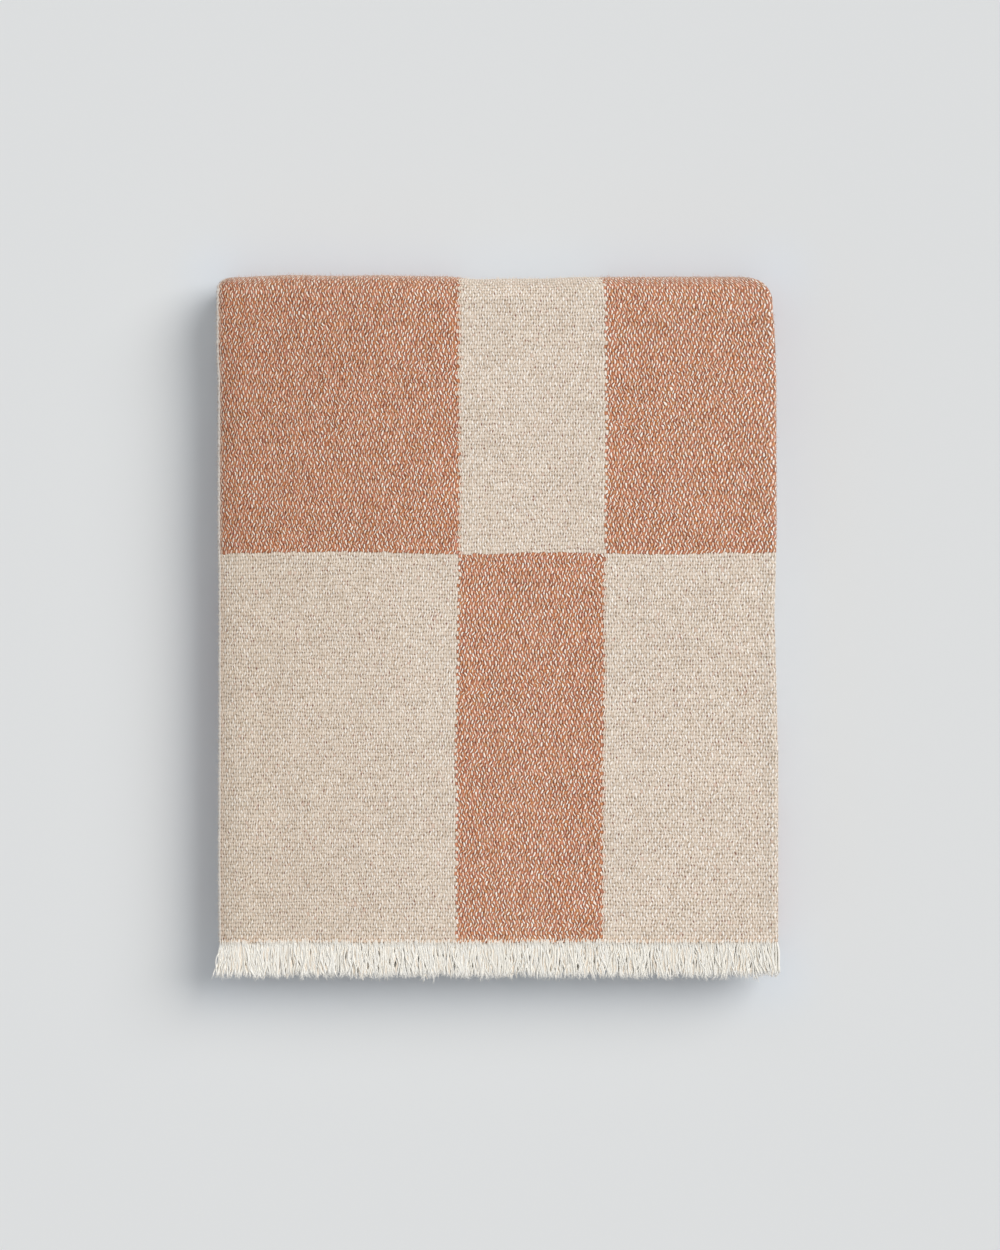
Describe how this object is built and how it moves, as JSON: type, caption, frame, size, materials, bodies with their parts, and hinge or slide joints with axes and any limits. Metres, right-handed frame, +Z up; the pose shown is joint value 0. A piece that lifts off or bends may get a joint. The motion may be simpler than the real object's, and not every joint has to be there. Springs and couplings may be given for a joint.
{
  "type": "folded throw blanket",
  "caption": "Woven throw blanket in a large two-colour block check, folded in quarters both ways into a flat stack, with a yarn fringe at its open end; it opens about its far fold.",
  "frame": {"origin": "centre of the folded stack's footprint, fringe included, on the surface that it lies on", "axes": "+Y towards the far cross fold, away from the fringe; +X towards the smooth folded side; +Z up through the plies"},
  "size_m": [0.3522, 0.4424, 0.0349],
  "materials": {
    "woven_face": "plain double weave of cream warp with terracotta and beige weft, in large blocks, matt with a little fuzz",
    "fringe_yarn": "cream warp yarns left loose, matt"
  },
  "bodies": {
    "lower_half": {"bottom_quarter": "woven_face", "second_quarter": "woven_face", "near_fold": "woven_face", "far_fold_outer": "woven_face", "far_fold_inner": "woven_face"},
    "upper_half": {"third_quarter": "woven_face", "top_quarter": "woven_face", "inner_fringe": "fringe_yarn", "folded_fringe": "fringe_yarn"},
    "fringe_row": {"top_fringe": "fringe_yarn"}
  },
  "joints": [
    {"name": "far_fold_open", "type": "hinge", "parent": "lower_half", "child": "upper_half", "pos_m": [0, 0.20375, 0.01745], "axis": [-1, 0, 0], "range_deg": [0, 179.9], "deforming": ["far_fold_outer", "far_fold_inner"]},
    {"name": "top_fringe_lift", "type": "hinge", "parent": "upper_half", "child": "fringe_row", "pos_m": [0, -0.1994, 0.0349], "axis": [-1, 0, 0], "range_deg": [0, 170]}
  ]
}
